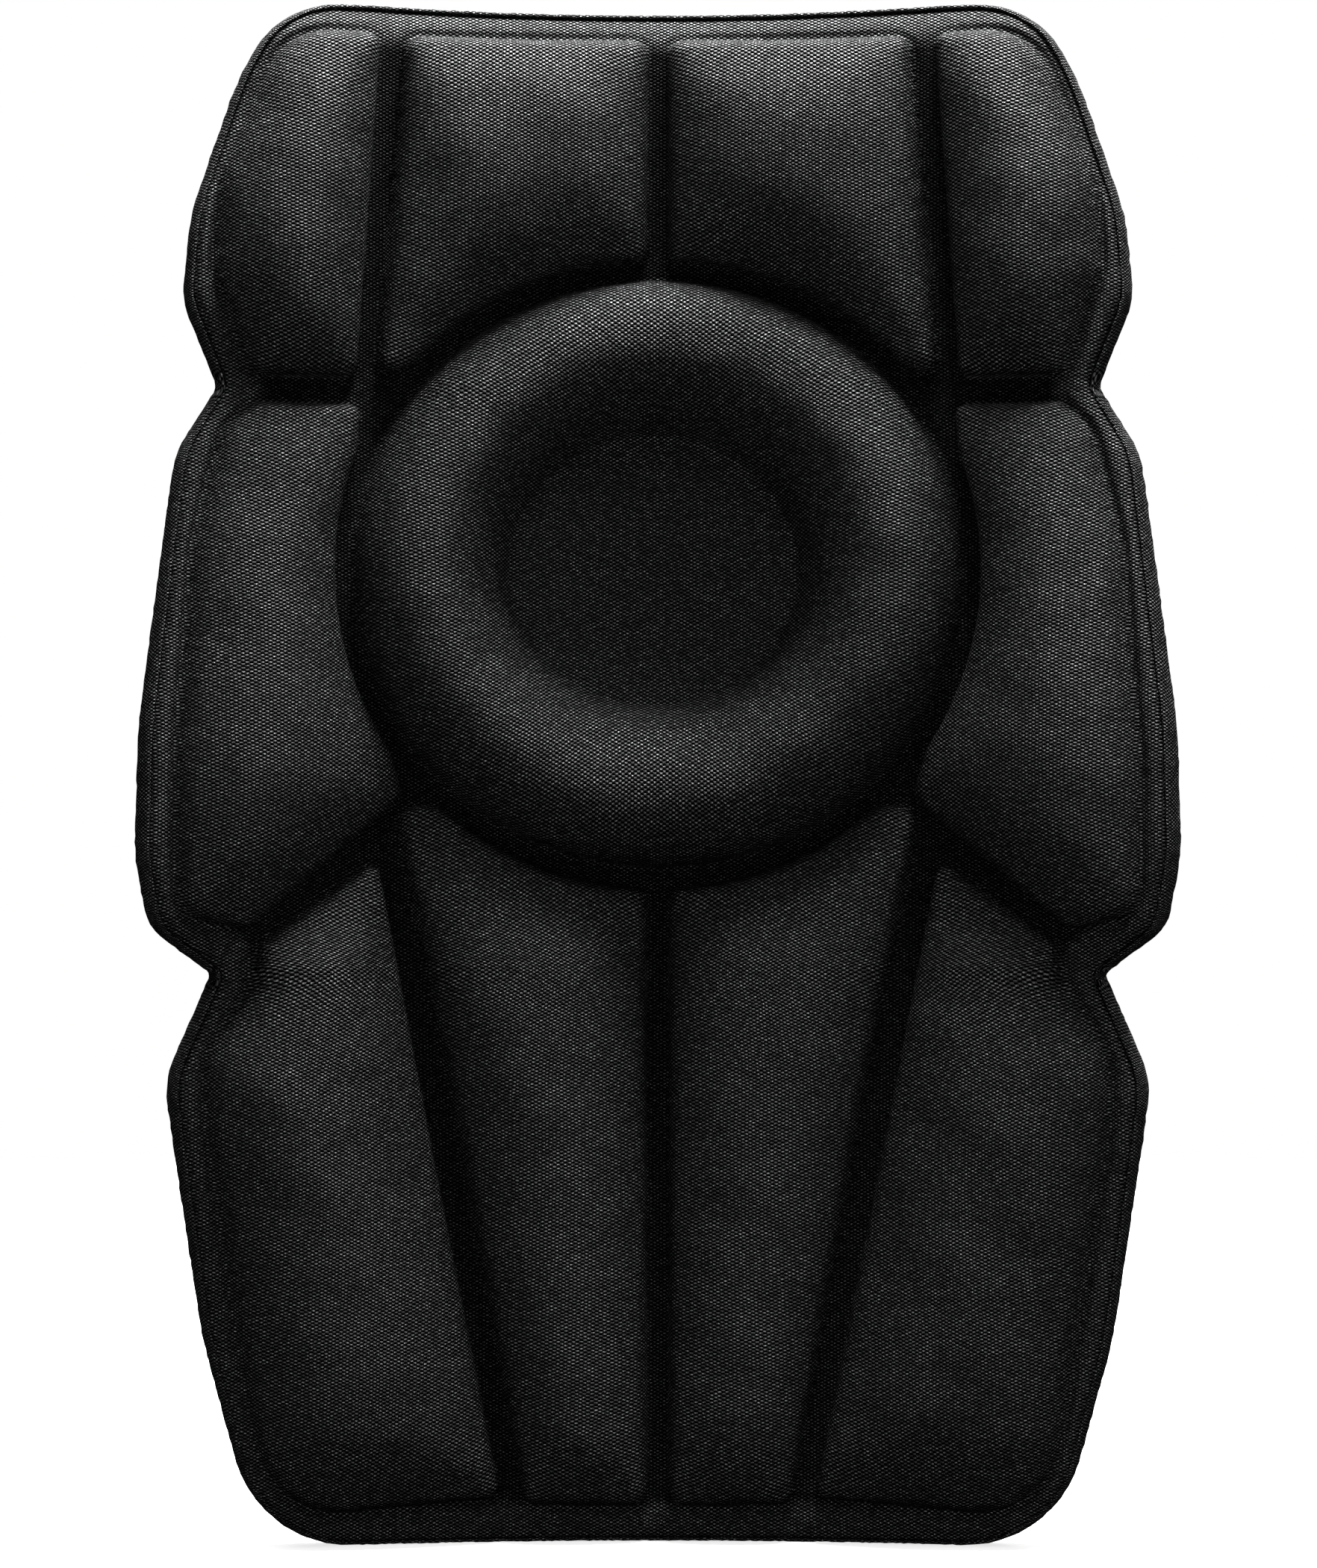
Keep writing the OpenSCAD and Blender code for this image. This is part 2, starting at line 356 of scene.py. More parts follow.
def edge_ramp(inside):
    """A smooth measure of the distance inside an edge, which levels off a few millimetres in."""
    return 2 * np.tanh(np.maximum(inside, 0) / 2)


def pad_fields():
    """Grids over the right-hand half: depth inside a pad, its dome over the edge ramp, softness."""
    rows, columns = GRID_SHAPE
    up, across = np.meshgrid(
        GRID_LOW[1] + GRID * np.arange(rows), GRID_LOW[0] + GRID * np.arange(columns), indexing="ij"
    )
    depth = np.full(GRID_SHAPE, -MARGIN)
    swell, softness = np.zeros(GRID_SHAPE), np.zeros(GRID_SHAPE)
    for corners, _ in PADS.values():
        outline = pad_outline(corners, 0.8)
        low, high = outline[:, :2].min(0) - MARGIN, outline[:, :2].max(0) + MARGIN
        i0, i1 = np.searchsorted(up[:, 0], (low[1], high[1]))
        j0, j1 = np.searchsorted(across[0], (low[0], high[0]))
        part = (slice(i0, i1), slice(j0, j1))
        points = np.stack([across[part].ravel(), up[part].ravel()], axis=1)
        inside, soft = distance_to(points, outline)
        inside, soft = inside.reshape(across[part].shape), soft.reshape(across[part].shape)
        soft = blurred(soft, 30)
        share = dome(inside) / np.maximum(edge_ramp(inside), 0.1)
        share = blurred(spread(share, inside > 1.0, 6), 6)
        nearer = inside > depth[part]
        depth[part] = np.where(nearer, inside, depth[part])
        swell[part] = np.where(nearer, share, swell[part])
        softness[part] = np.where(nearer, soft, softness[part])
    return depth, swell, softness


DEPTH, SWELL, SOFTNESS = pad_fields()


def smooth_lookup(fields, across, up):
    """The fields' values at points of the pattern, by cubic B-splines; the pattern is mirrored."""
    column = (np.abs(across) - GRID_LOW[0]) / GRID
    row = (up - GRID_LOW[1]) / GRID
    i = np.clip(row.astype(int), 1, GRID_SHAPE[0] - 3)
    j = np.clip(column.astype(int), 1, GRID_SHAPE[1] - 3)

    def weights(t):
        return (
            (1 - t) ** 3 / 6,
            (3 * t**3 - 6 * t**2 + 4) / 6,
            (-3 * t**3 + 3 * t**2 + 3 * t + 1) / 6,
            t**3 / 6,
        )

    row_weights, column_weights = weights(row - i), weights(column - j)
    results = [np.zeros(np.shape(across)) for _ in fields]
    for di, wi in enumerate(row_weights):
        for dj, wj in enumerate(column_weights):
            for result, field in zip(results, fields):
                result += wi * wj * field[i + di - 1, j + dj - 1]
    return results


def ring_share(across, up):
    """How far across the knee ring a point is, from 0 at its outside to 1 at the cup's floor."""
    x, y = across, up - KNEE_Z
    r = np.hypot(x, y) + 1e-9
    cos_t, sin_t = x / r, y / r
    outer = 1 / np.hypot(cos_t / (RING_W / 2), sin_t / (RING_H / 2))
    inner = 1 / np.hypot(cos_t / (CUP_W / 2), sin_t / (CUP_H / 2))
    inner = inner + CUP_SHIFT[0] * cos_t + CUP_SHIFT[1] * sin_t
    return (outer - r) / (outer - inner), outer - inner


def moulded(across, up, inset=0.0):
    """Height of the moulded pads above the flange, depth inside a pad, and the softness there.

    inset sets every pad in by that much at its walls and below its top, as the foam in the knit is.
    """
    depth, swell, softness = smooth_lookup((DEPTH, SWELL, SOFTNESS), across, up)
    wall = (1 - (1 - np.clip((depth - inset) / WALL_RUN, 0, 1)) ** 2.5) ** 0.4
    shoulder = STEEP_SHOULDER * (1 - softness) + SOFT_SHOULDER * softness
    crown = np.clip(swell * edge_ramp(depth), 0, 1)
    height = PAD_RISE * wall * (shoulder + (1 - shoulder) * crown) - inset
    share, width = ring_share(across, up)
    on_ring = (share > 0) & (share < 1)
    height = np.where(on_ring, RING_RISE * ring_section(np.clip(share, 0, 1)) - inset, height)
    depth = np.maximum(depth, np.minimum(share, 1 - share) * width)
    return height, depth, softness


def ripple(across, up, size, seed):
    """A gentle, repeatable unevenness of about 1, with waves of about size millimetres."""
    r = np.random.default_rng(seed)
    total = 0
    for _ in range(7):
        angle, phase = r.uniform(0, 2 * math.pi, 2)
        k = 2 * math.pi / (size * r.uniform(0.7, 1.4))
        total = total + np.sin(k * (across * math.cos(angle) + up * math.sin(angle)) + phase)
    return total / 3


# ---------------------------------------------------------------- meshes


def make_mesh(name, points, quads, uv_mm=None):
    """A piece from points in metres and quads; uv_mm is each point's place on its knit, in mm."""
    mesh = bpy.data.meshes.new(name)
    mesh.vertices.add(len(points))
    mesh.vertices.foreach_set("co", np.asarray(points, np.float32).ravel())
    mesh.loops.add(quads.size)
    mesh.loops.foreach_set("vertex_index", quads.astype(np.int32).ravel())
    mesh.polygons.add(len(quads))
    mesh.polygons.foreach_set("loop_start", np.arange(0, quads.size, 4, dtype=np.int32))
    mesh.polygons.foreach_set("use_smooth", np.ones(len(quads), bool))
    mesh.update(calc_edges=True)
    if uv_mm is not None:
        layer = mesh.uv_layers.new(name="knit_mm")
        layer.data.foreach_set("uv", np.asarray(uv_mm, np.float32)[quads.ravel()].ravel())
    mesh.validate()
    piece = bpy.data.objects.new(name, mesh)
    bpy.context.scene.collection.objects.link(piece)
    return piece


def grid_quads(rows, columns, start=0):
    """Quads of a grid of points numbered row by row, from start."""
    i, j = np.meshgrid(np.arange(rows - 1), np.arange(columns - 1), indexing="ij")
    a = (start + i * columns + j).ravel()
    return np.stack([a, a + 1, a + columns + 1, a + columns], axis=1)


def border(rows, columns):
    """Numbers of a grid's border points, once round."""
    bottom = np.arange(columns)
    right = np.arange(1, rows) * columns + columns - 1
    top = (rows - 1) * columns + np.arange(columns - 2, -1, -1)
    left = np.arange(rows - 2, 0, -1) * columns
    return np.concatenate([bottom, right, top, left])


def drawn_in_edge(step, inset):
    """The right-hand half of the pad's edge, drawn in by inset: its half widths and heights."""
    line = edge_line(step)
    return line[:, 0] - inset, PAD_H / 2 + (line[:, 1] - PAD_H / 2) * (1 - 2 * inset / PAD_H)


def pattern_grid(step, inset, width=160):
    """A grid that fills the pad's outline drawn in by inset: across, up, each (rows, columns).

    Its points are about step apart where the pad is width wide.
    """
    half_w, up = drawn_in_edge(step, inset)
    columns = 2 * round(0.5 * width / step) + 1
    s = np.linspace(-1, 1, columns)
    return half_w[:, None] * s[None, :], np.repeat(up[:, None], columns, axis=1)


def outward(across, up):
    """Outward normals in the pattern at a grid's border points."""
    loop = border(*across.shape)
    p = np.stack([across.ravel()[loop], up.ravel()[loop]], axis=1)
    d = np.roll(p, -2, axis=0) - np.roll(p, 2, axis=0)
    n = np.stack([d[:, 1], -d[:, 0]], axis=1)
    return loop, n / np.linalg.norm(n, axis=1)[:, None]


def skin(name, front, back, rim, uv_front=None, jitter=0.0, seed=0):
    """A closed piece from a front grid, a back grid and the rim that joins them.

    front and back are (across, up, height) grids of the same shape. rim lists the rim's rows from
    front to back as (distance outside the grid's border, height); the height may differ round the
    border.
    """
    rows, columns = front[0].shape
    count = rows * columns
    loop, normal = outward(front[0], front[1])
    flat = [np.stack([g.ravel() for g in layer], axis=1) for layer in (front, back)]
    uv = [flat[0][:, :2] if uv_front is None else uv_front.reshape(-1, 2), flat[1][:, :2]]
    points = list(flat)
    r = np.random.default_rng(seed)
    start = flat[0][loop]
    run = np.zeros(len(loop))
    last = (0.0, start[:, 2].mean())
    for out, height in rim:
        wobble = r.normal(0, jitter, len(loop)) if jitter else 0
        run = run + np.hypot(out - last[0], height - last[1])
        last = (out, height)
        place = start[:, :2] + normal * np.reshape(out + wobble, (-1, 1))
        place[:, 1] = np.clip(place[:, 1], 0, PAD_H)
        points.append(np.column_stack([place, np.broadcast_to(height, len(loop))]))
        uv.append(start[:, :2] + normal * run[:, None])
    points = np.vstack(points)
    uv = np.vstack(uv)
    quads = [grid_quads(rows, columns), grid_quads(rows, columns, count)[:, ::-1]]
    rings = [loop]
    rings += [2 * count + k * len(loop) + np.arange(len(loop)) for k in range(len(rim))]
    rings += [count + loop]
    for near, far in zip(rings, rings[1:]):
        quads.append(np.stack([near, far, np.roll(far, -1), np.roll(near, -1)], axis=1))
    return make_mesh(name, lay(*points.T), np.vstack(quads), uv)


# ---------------------------------------------------------------- the knit face


def relaxed(across, up, height, depth, rounds):
    """Where the knit of each point lies in the flat cloth, once it is drawn evenly over the pads.

    The knit is bonded down in the channels and on the flange, so it can't slip there; over a pad
    each point settles at the average of its neighbours, the nearer ones counting for more.
    """
    solid = lay(across, up, height) / MM
    cloth = np.stack([across, up], axis=2)
    free = (depth > 0.2).astype(float)[1:-1, 1:-1, None]
    beside = 1 / (np.linalg.norm(np.diff(solid, axis=1), axis=2) + 0.05)
    above = 1 / (np.linalg.norm(np.diff(solid, axis=0), axis=2) + 0.05)
    left, right = beside[1:-1, :-1, None], beside[1:-1, 1:, None]
    down, over = above[:-1, 1:-1, None], above[1:, 1:-1, None]
    total = left + right + down + over
    left, right, down, over = left / total, right / total, down / total, over / total
    for _ in range(rounds):
        average = (
            cloth[1:-1, :-2] * left + cloth[1:-1, 2:] * right
            + cloth[:-2, 1:-1] * down + cloth[2:, 1:-1] * over
        )
        cloth[1:-1, 1:-1] += free * (average - cloth[1:-1, 1:-1])
    return cloth


def edge_distance(across, up, inset):
    """How far inside the pad's outline, drawn in by inset, each point is."""
    line = np.stack(drawn_in_edge(1.5, inset), axis=1)
    outline = np.vstack([line, line[::-1] * (-1, 1)])
    points = np.stack([across.ravel(), up.ravel()], axis=1)
    return distance_to(points, outline)[0].reshape(across.shape)


def flange_roll(edge, up):
    """How far back the flange is rolled, most at its top edge."""
    amount = SIDE_ROLL + TOP_ROLL * np.clip((up - TOP_ROLL_FROM) / TOP_ROLL_RUN, 0, 1)
    return amount * np.clip(1 - edge / FLANGE_W, 0, 1) ** 2


def behind(across, up, height, thickness):
    """The grid a thickness behind another, square to it; its border stays straight behind."""
    d_row, d_col = np.gradient(height)
    a_row, a_col = np.gradient(across)
    u_row, u_col = np.gradient(up)
    det = a_row * u_col - a_col * u_row
    slope_a = (d_row * u_col - d_col * u_row) / det
    slope_u = (d_col * a_row - d_row * a_col) / det
    size = np.sqrt(1 + slope_a**2 + slope_u**2)
    move_a, move_u = thickness * slope_a / size, thickness * slope_u / size
    for edge in (move_a, move_u):
        edge[[0, -1]] = 0
        edge[:, [0, -1]] = 0
    return across + move_a, up + move_u, height - thickness / size


def build_face():
    """The knit face: one sheet stretched over every pad, and bonded down between and round them."""
    step = 0.46
    across, up = pattern_grid(step, BACK_STEP, 158)
    height, depth, softness = moulded(across, up)
    edge = np.clip(edge_distance(across, up, BACK_STEP), 0, None)
    on_pad = np.clip(depth / 3, 0, 1)
    height = height + 0.16 * on_pad * ripple(across, up, 17, 3) + 0.05 * ripple(across, up, 9, 5)
    beside = np.clip(2 * softness, 0, 1)
    groove = np.exp(-(((depth + 0.6) / 0.55) ** 2))
    across_flange = edge / (edge + np.maximum(-depth, 0) + 1e-6)
    crown = 4 * FLANGE_CROWN * across_flange * (1 - across_flange)
    height += beside * (crown - FOOT_GROOVE * groove)
    rolled = np.clip(1 - edge / EDGE_RUN, 0, 1)
    height -= EDGE_DROP * (1 - np.sqrt(1 - rolled**2)) + flange_roll(edge, up)
    cloth = relaxed(across, up, height, depth, 800)
    inner = behind(across, up, height, KNIT_T)
    edge_height = height.ravel()[border(*height.shape)]
    rim = [(0.12, edge_height - 0.15), (0.14, edge_height - 0.45)]
    face = skin("knit_face", (across, up, height), inner, rim, cloth, 0.05, 11)
    # The stitches are pressed shut in the channels, but not on the flange or in the cup; the
    # darkening this gives the knit there is partly that pressing and partly painted shade of the
    # deep channels
    pressed_and_painted_shade = np.clip(0.5 - depth / 1.2, 0, 1) * np.clip((edge - 4.5) / 2, 0, 1)
    pressed_and_painted_shade[ring_share(across, up)[0] > 0.5] = 0
    attribute = face.data.attributes.new("pressed_and_painted_shade", "FLOAT", "POINT")
    values = np.zeros(len(face.data.vertices), np.float32)
    values[: pressed_and_painted_shade.size] = pressed_and_painted_shade.ravel()
    attribute.data.foreach_set("value", values)
    return face


def outline_area(inset):
    """The flat area inside the pad's outline, in square metres."""
    line = edge_line(1.0)
    half_w = line[:, 0] - inset
    up = line[:, 1]
    return float(2 * ((half_w[1:] + half_w[:-1]) / 2 * np.diff(up)).sum()) * MM * MM


# ---------------------------------------------------------------- the layers behind the face


def build_back_knit():
    """The knit that wraps the back foam: a tray with a rolled, slightly shaggy edge.

    The channels and the edge of the cup show faintly on its back.
    """
    step = 1.0
    drawn_in = 1.5
    across, up = pattern_grid(step, drawn_in)
    channel = np.clip(1 - np.abs(moulded(across, up)[1] + 1.6) / 2.2, 0, 1)
    relief = 0.25 * channel**2 + 0.07 * ripple(across, up, 14, 8)
    back = np.full_like(across, BACK_H) + relief
    inside = np.full_like(across, BACK_KNIT_H)
    rim = [
        (drawn_in - KNIT_T, BACK_KNIT_H), (drawn_in - KNIT_T, BASE_FOAM_H - 0.7),
        (drawn_in - 0.5, BASE_FOAM_H - 0.3), (drawn_in - 0.3, BASE_FOAM_H - 0.25),
        (drawn_in - 0.05, BASE_FOAM_H - 0.5), (drawn_in + 0.15, -1.9), (drawn_in + 0.2, -2.9),
        (drawn_in + 0.12, -4.0), (drawn_in, -4.8), (drawn_in - 0.3, -5.6), (drawn_in - 0.8, -6.2),
        (0.3, BACK_H),
    ]
    return skin("knit_back", (across, up, inside), (across, up, back), rim, None, 0.05, 12)


def build_sheet(name, low, high, inset, step, roughness, seed, under_flange=False):
    """A plain layer of foam or film between two heights, with a slightly uneven cut edge."""
    across, up = pattern_grid(step, inset + 0.3)
    front = np.full_like(across, high) - roughness * (1 + ripple(across, up, 8, seed)) / 2
    back = np.full_like(across, low) + roughness * (1 + ripple(across, up, 11, seed + 1)) / 2
    if under_flange:
        front -= flange_roll(edge_distance(across, up, BACK_STEP), up) + 0.1
    top = front.ravel()[border(*front.shape)]
    rim = [(0.3, top * 0.85 + low * 0.15), (0.36, (top + low) / 2), (0.3, top * 0.15 + low * 0.85)]
    return skin(name, (across, up, front), (across, up, back), rim, None, 0.02, seed)


def nearest_on(spine, points):
    """The nearest point of a pad's spine to each point."""
    a, b = np.array(spine[0], float), np.array(spine[1], float)
    t = np.clip(((points - a) @ (b - a)) / ((b - a) @ (b - a)), 0, 1)
    return a + t[:, None] * (b - a)


def build_foam_pad(name, outline, spine, side):
    """A foam block under the knit: loops that close on the pad's spine, then a flat underside."""
    inset = KNIT_T + 0.15
    ahead = np.roll(outline[:, :2], -1, axis=0) - np.roll(outline[:, :2], 1, axis=0)
    inward = np.stack([ahead[:, 1], -ahead[:, 0]], axis=1) / np.linalg.norm(ahead, axis=1)[:, None]
    p = outline[:, :2] + inset * inward
    goal = nearest_on(spine, p)
    away = np.linalg.norm(goal - p, axis=1)
    toward = (goal - p) / away[:, None]
    loops = []
    for run_in in (0.0, 0.3, 0.7, 1.2, 1.8, 2.6, 3.6, 5.0, 6.5, 8.5, 11.0, 14.0):
        q = p + toward * np.minimum(run_in, 0.96 * away)[:, None]
        height = np.maximum(moulded(q[:, 0], q[:, 1], inset)[0], BASE_FOAM_H)
        loops.append(np.column_stack([q, height if run_in else np.full(len(q), BASE_FOAM_H)]))
    middle = goal + 1e-3 * (p - goal)
    top = moulded(middle[:, 0], middle[:, 1], inset)[0]
    loops.append(np.column_stack([middle, top]))
    under = []
    for k in (0.5, 1):
        place = loops[0][:, :2] * (1 - k) + middle * k
        under.append(np.column_stack([place, np.full(len(p), BASE_FOAM_H)]))
    rows = under[::-1] + loops
    n = len(p)
    points = np.vstack(rows)
    points[:, 0] *= side
    quads = []
    for k in range(len(rows) - 1):
        i = k * n + np.arange(n)
        j = k * n + np.roll(np.arange(n), -1)
        quads.append(np.stack([i, j, j + n, i + n], axis=1))
    quads = np.vstack(quads)
    return make_mesh(name, lay(*points.T), quads if side > 0 else quads[:, ::-1], points[:, :2])


def build_foam_ring(name, step):
    """The foam ring under the knit, as sections round the knee."""
    inset = KNIT_T + 0.1
    shares = np.array([
        0, 0.02, 0.05, 0.09, 0.14, 0.2, 0.27, 0.34, 0.42, 0.5, 0.58, 0.66, 0.74, 0.82, 0.9, 0.96, 1,
    ])
    around = round(math.pi * RING_W / step)
    t = np.linspace(0, 2 * math.pi, around, endpoint=False)[:, None]
    sin_t, cos_t = np.sin(t), np.cos(t)
    outer = 1 / np.hypot(sin_t / (RING_W / 2), cos_t / (RING_H / 2)) - inset
    inner = 1 / np.hypot(sin_t / (CUP_W / 2), cos_t / (CUP_H / 2))
    inner = inner + CUP_SHIFT[0] * sin_t + CUP_SHIFT[1] * cos_t + inset
    r = outer * (1 - shares) + inner * shares
    top = (RING_RISE - inset) * ring_section(np.broadcast_to(shares, r.shape)) - 0.1
    top = np.maximum(top, BASE_FOAM_H)
    top[:, [0, -1]] = BASE_FOAM_H
    under = np.full((around, 1), BASE_FOAM_H)
    middle_r = (r[:, :1] + r[:, -1:]) / 2
    grid = np.stack([r * sin_t, KNEE_Z + r * cos_t, top], axis=2)
    below = np.stack([middle_r * sin_t, KNEE_Z + middle_r * cos_t, under], axis=2)
    grid = np.concatenate([grid, below], axis=1)
    n = grid.shape[1]
    i, j = np.meshgrid(np.arange(around), np.arange(n), indexing="ij")
    a, b = i * n + j, (i + 1) % around * n + j
    c, d = (i + 1) % around * n + (j + 1) % n, i * n + (j + 1) % n
    quads = np.stack([a.ravel(), b.ravel(), c.ravel(), d.ravel()], axis=1)
    points = grid.reshape(-1, 3)
    return make_mesh(name, lay(*points.T), quads, points[:, :2])


# ---------------------------------------------------------------- materials


class Graph:
    """A short way to wire a material's nodes."""

    def __init__(self, name):
        self.material = bpy.data.materials.new(name)
        self.material.use_nodes = True
        self.tree = self.material.node_tree
        self.shader = self.tree.nodes["Principled BSDF"]

    def link(self, value, socket):
        if isinstance(value, bpy.types.NodeSocket):
            self.tree.links.new(value, socket)
        else:
            socket.default_value = value

    def node(self, kind, inputs=(), **settings):
        made = self.tree.nodes.new(kind)
        for key, value in settings.items():
            setattr(made, key, value)
        for key, value in dict(inputs).items():
            self.link(value, made.inputs[key])
        return made

    def math(self, operation, a, b=0.0, clamp=False):
        made = self.node("ShaderNodeMath", {0: a, 1: b}, operation=operation, use_clamp=clamp)
        return made.outputs[0]

    def vector(self, operation, *values):
        made = self.node("ShaderNodeVectorMath", dict(enumerate(values)), operation=operation)
        return made.outputs[0]

    def ramp(self, value, low, high, to_low=0.0, to_high=1.0):
        ends = {"From Min": low, "From Max": high, "To Min": to_low, "To Max": to_high}
        made = self.node(
            "ShaderNodeMapRange", {"Value": value, **ends}, interpolation_type="SMOOTHSTEP"
        )
        return made.outputs["Result"]

    def noise(self, vector, scale, detail):
        made = self.node("ShaderNodeTexNoise", {"Vector": vector, "Scale": scale, "Detail": detail})
        return made.outputs["Fac"]

    def mixed(self, share, first, second):
        made = self.node("ShaderNodeMix", data_type="RGBA")
        self.link(share, made.inputs["Factor"])
        self.link(first, made.inputs[6])
        self.link(second, made.inputs[7])
        return made.outputs[2]

    def set(self, **constants):
        for key, value in constants.items():
            self.shader.inputs[key.replace("_", " ")].default_value = value

    def bump(self, height, distance):
        inputs = {"Height": height, "Distance": distance, "Strength": 1.0}
        made = self.node("ShaderNodeBump", inputs)
        self.tree.links.new(made.outputs["Normal"], self.shader.inputs["Normal"])


# Spacing of the knit's columns and rows of stitches before it is stretched, and twice the furthest
# that a stitch strays from its place, in millimetres
WALE = 0.545
COURSE = 0.58
DRIFT = 0.35


def darker(colour, share):
    return [share * c for c in colour[:3]] + [1]


def knit_material(name, yarn, hole, painted_glint_tone):
    """Fine black warp knit: staggered holes between looped yarns that catch the light unevenly;
    some loop heads also get a painted glint, a near white base colour, besides more shine.
    """
    g = Graph(name)
    uv = g.node("ShaderNodeUVMap", uv_map="knit_mm").outputs["UV"]
    drift = g.node("ShaderNodeTexNoise", {"Vector": uv, "Scale": 0.35, "Detail": 3.0})
    shift = g.vector("SUBTRACT", drift.outputs["Color"], (0.5, 0.5, 0.5))
    place = g.vector("MULTIPLY_ADD", shift, (DRIFT, DRIFT, 0.0), uv)
    split = g.node("ShaderNodeSeparateXYZ", {0: place})
    across, up = split.outputs[0], split.outputs[1]
    column = g.math("COSINE", g.math("MULTIPLY", across, math.pi / WALE))
    row = g.math("COSINE", g.math("MULTIPLY", up, 2 * math.pi / COURSE))
    lattice = g.math("MULTIPLY", column, row)
    opening = g.ramp(lattice, -0.35, 0.25)
    loop_head = g.ramp(lattice, -0.3, -0.85)
    wale_number = g.math("FLOOR", g.math("DIVIDE", across, WALE))
    course_number = g.math("FLOOR", g.math("DIVIDE", up, COURSE / 2))
    stitch = g.node("ShaderNodeCombineXYZ", {0: wale_number, 1: course_number}).outputs[0]
    dice = g.node("ShaderNodeTexWhiteNoise", {"Vector": stitch}, noise_dimensions="2D")
    chance = dice.outputs["Value"]
    fibre = g.noise(uv, 4.5, 3.0)
    strand = g.ramp(fibre, 0.38, 0.62)
    glint = g.math("MULTIPLY", g.math("MULTIPLY", g.ramp(chance, 0.35, 0.95), loop_head), strand)
    cloud = g.noise(uv, 0.08, 3.0)
    # In the channels the knit's colour is darkened and its shine lowered: partly pressed stitches,
    # partly painted shade
    pressed_and_painted_shade = g.node("ShaderNodeAttribute", attribute_name="pressed_and_painted_shade").outputs["Fac"]
    open_yarn = g.math("SUBTRACT", 1.0, opening, clamp=True)
    kept_outside_painted_shade = g.math("SUBTRACT", 1.0, g.math("MULTIPLY", pressed_and_painted_shade, 0.75))
    raised = g.math("MULTIPLY", open_yarn, kept_outside_painted_shade)
    lit = g.mixed(strand, darker(yarn, 0.15), yarn)
    lit = g.mixed(g.ramp(chance, 0.7, 0.0, 0.0, 0.6), lit, darker(yarn, 0.15))
    # Painted glints: the base colour of some loop heads is mixed towards near white
    lit = g.mixed(glint, lit, painted_glint_tone)
    lit = g.mixed(g.ramp(cloud, 0.3, 0.7, 0.0, 0.2), lit, darker(yarn, 0.6))
    g.tree.links.new(g.mixed(raised, hole, lit), g.shader.inputs["Base Color"])
    g.tree.links.new(g.ramp(glint, 0.0, 1.0, 0.5, 0.38), g.shader.inputs["Roughness"])
    shine = g.math("MULTIPLY", raised, g.ramp(glint, 0.0, 1.0, 0.45, 2.2))
    g.tree.links.new(shine, g.shader.inputs["Specular IOR Level"])
    height = g.math("SUBTRACT", g.math("MULTIPLY", loop_head, 0.5), opening)
    height = g.math("ADD", height, g.math("MULTIPLY", fibre, 0.6))
    g.bump(height, 0.00008)
    return g.material


def foam_material(name, colour):
    """Closed-cell foam: fine pits and a faint mottling."""
    g = Graph(name)
    at = g.node("ShaderNodeTexCoord").outputs["Object"]
    cells = g.node("ShaderNodeTexVoronoi", {"Vector": at, "Scale": 2200.0}).outputs["Distance"]
    mottle = g.noise(at, 180.0, 4.0)
    dark = darker(colour, 0.55)
    tone = g.mixed(g.ramp(cells, 0.1, 0.6), dark, colour)
    tone = g.mixed(g.ramp(mottle, 0.3, 0.7, 0.0, 0.35), tone, dark)
    g.tree.links.new(tone, g.shader.inputs["Base Color"])
    g.tree.links.new(g.ramp(mottle, 0.2, 0.8, 0.75, 0.95), g.shader.inputs["Roughness"])
    g.bump(cells, 0.00012)
    g.set(Specular_IOR_Level=0.25)
    return g.material


def film_material(name):
    """Thin black adhesive film, slightly wrinkled."""
    g = Graph(name)
    at = g.node("ShaderNodeTexCoord").outputs["Object"]
    wrinkle = g.noise(at, 350.0, 4.0)
    tone = g.mixed(wrinkle, (0.008, 0.008, 0.009, 1), (0.02, 0.02, 0.022, 1))
    g.tree.links.new(tone, g.shader.inputs["Base Color"])
    g.tree.links.new(g.ramp(wrinkle, 0.3, 0.7, 0.35, 0.6), g.shader.inputs["Roughness"])
    g.bump(wrinkle, 0.0001)
    return g.material


# ---------------------------------------------------------------- the pieces


def dress(piece, material, slot, *nodes):
    """Give a piece its material, its body and the CAD nodes it is shown for. slot is not used."""
    piece.data.materials.append(material)
    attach(piece, "root")
    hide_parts(*nodes)
    return piece


YARN_TONE = (0.09, 0.0905, 0.092, 1)
HOLE_TONE = (0.0005, 0.0005, 0.0006, 1)
# Near white base colour of the painted glints on the knit's loop heads
PAINTED_GLINT_TONE = (0.75, 0.76, 0.77, 1)

knit = knit_material("knit_black", YARN_TONE, HOLE_TONE, PAINTED_GLINT_TONE)
foam = foam_material("foam_charcoal", (0.06, 0.062, 0.068, 1))
film = film_material("film_black")

base_foam = dress(
    build_sheet("foam_base", FILM_H, BASE_FOAM_H, BACK_STEP, 2.0, 0.05, 21, under_flange=True),
    foam, "foam", "base_foam",
)
back_foam = dress(
    build_sheet("foam_back", BACK_KNIT_H, BACK_FOAM_H, KNIT_T, 3.0, 0.05, 23),
    foam, "foam", "back_foam",
)
dress(
    build_sheet("film_bond", BACK_FOAM_H, FILM_H, 2 * BACK_STEP, 3.0, 0.0, 25),
    film, "film", "bond_film",
)
foam_pads = [dress(build_foam_ring("foam_knee_ring", 1.5), foam, "foam", "knee_ring_pad")]
for pad_name, (corners, spine) in PADS.items():
    for side, word in ((-1, "left"), (1, "right")):
        block = build_foam_pad(f"foam_{pad_name}_{word}", pad_outline(corners, 1.0), spine, side)
        foam_pads.append(dress(block, foam, "foam", f"{pad_name}_{word}_pad"))
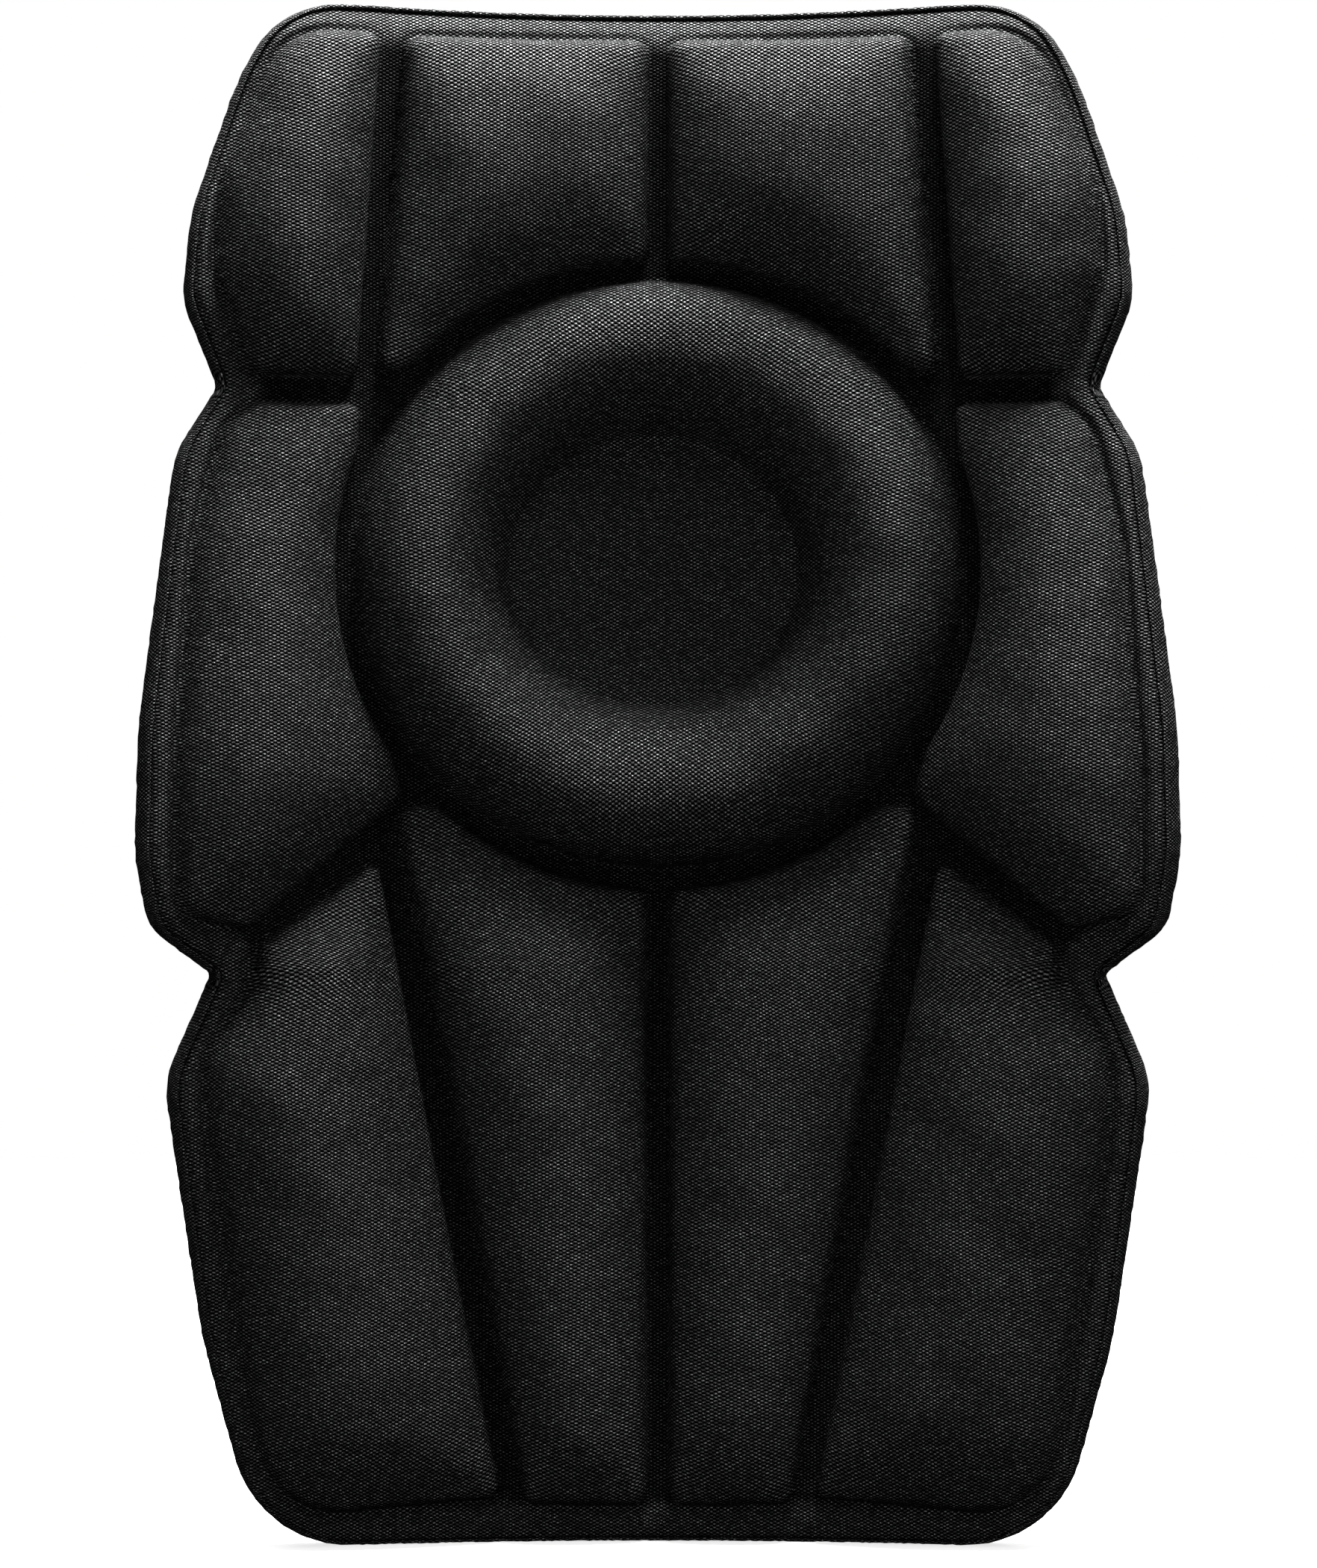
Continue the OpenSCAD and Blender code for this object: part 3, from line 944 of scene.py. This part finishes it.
back_knit = dress(build_back_knit(), knit, "knit", "back_knit")
face_knit = dress(build_face(), knit, "knit", "face_knit")

# How far past the outline, at each side, the back knit's area is counted for its turn up the edge
TURN_UP = 4.0

outline_area(BACK_STEP)
outline_area(-TURN_UP)


# ---------------------------------------------------------------- floor, light and camera


def area_light(name, place, target, size, power):
    light = bpy.data.lights.new(name, "AREA")
    light.shape = "RECTANGLE"
    light.size, light.size_y = size
    light.energy = power
    lamp = bpy.data.objects.new(name, light)
    lamp.location = place
    lamp.rotation_mode = "QUATERNION"
    lamp.rotation_quaternion = (Vector(target) - Vector(place)).to_track_quat("-Z", "Y")
    bpy.context.scene.collection.objects.link(lamp)


FLOOR_R = 1.0


def build_floor():
    """A pale, flat, round floor."""
    rings, around = 40, 96
    r = FLOOR_R * np.linspace(0, 1, rings + 1)[1:] ** 1.3
    t = np.linspace(0, 2 * math.pi, around, endpoint=False)
    x, y = np.outer(r, np.cos(t)), np.outer(r, np.sin(t))
    points = np.stack([x, y, np.zeros_like(x)], axis=2).reshape(-1, 3)
    points = np.vstack([points, [[0, 0, 0]]])
    faces = []
    for k in range(rings - 1):
        near, far = k * around, (k + 1) * around
        for i in range(around):
            j = (i + 1) % around
            faces.append((near + i, far + i, far + j, near + j))
    for i in range(around):
        faces.append((len(points) - 1, i, (i + 1) % around))
    mesh = bpy.data.meshes.new("floor")
    mesh.from_pydata(points.tolist(), [], faces)
    floor = bpy.data.objects.new("floor", mesh)
    bpy.context.scene.collection.objects.link(floor)
    g = Graph("floor_pale")
    g.set(Base_Color=(0.86, 0.86, 0.86, 1), Roughness=0.9, Specular_IOR_Level=0.1)
    g.set(Emission_Color=(1, 1, 1, 1), Emission_Strength=0.75)
    mesh.materials.append(g.material)
    return floor


floor = build_floor()
floor.visible_diffuse = False
floor.visible_glossy = False

world = bpy.data.worlds.new("studio")
bpy.context.scene.world = world
world.use_nodes = True
world.node_tree.nodes["Background"].inputs["Color"].default_value = (1, 1, 1, 1)
world.node_tree.nodes["Background"].inputs["Strength"].default_value = 1.0
world.cycles_visibility.diffuse = False
world.cycles_visibility.glossy = False
bpy.context.scene.view_settings.view_transform = "Standard"

middle = (0, 0, 0.13)
area_light("key_overhead", (0.14, 0.04, 1.2), middle, (0.6, 0.35), 44)
area_light("key_front", (0.1, -0.6, 1.1), middle, (0.5, 0.3), 1.3)
area_light("key_right", (0.95, -0.25, 0.8), middle, (0.5, 0.5), 2.4)
area_light("fill_left", (-0.7, -0.05, 1.1), middle, (0.6, 0.6), 2.2)
area_light("floor_bounce", (0, -0.5, 0), middle, (1.2, 0.5), 1.1)
area_light("back_light", (0.1, 1.3, 0.8), middle, (1.2, 0.8), 6)

# The lens's focal length over the frame's height, and where the camera is in metres: across, in
# front of the flange, and up
LENS_TO_FRAME = 3.72
CAMERA_ACROSS = 0.00012
CAMERA_AWAY = 0.95
CAMERA_UP = 0.1234

camera_data = bpy.data.cameras.new("camera")
camera_data.sensor_width = 36
camera_data.lens = LENS_TO_FRAME * camera_data.sensor_width
camera_data.clip_start = 0.05
camera_data.clip_end = 50
camera = bpy.data.objects.new("camera", camera_data)
camera.location = (CAMERA_ACROSS, -MIDDLE_Y * MM - CAMERA_AWAY, CAMERA_UP)
camera.rotation_euler = (math.pi / 2, 0, 0)
bpy.context.scene.collection.objects.link(camera)
bpy.context.scene.camera = camera
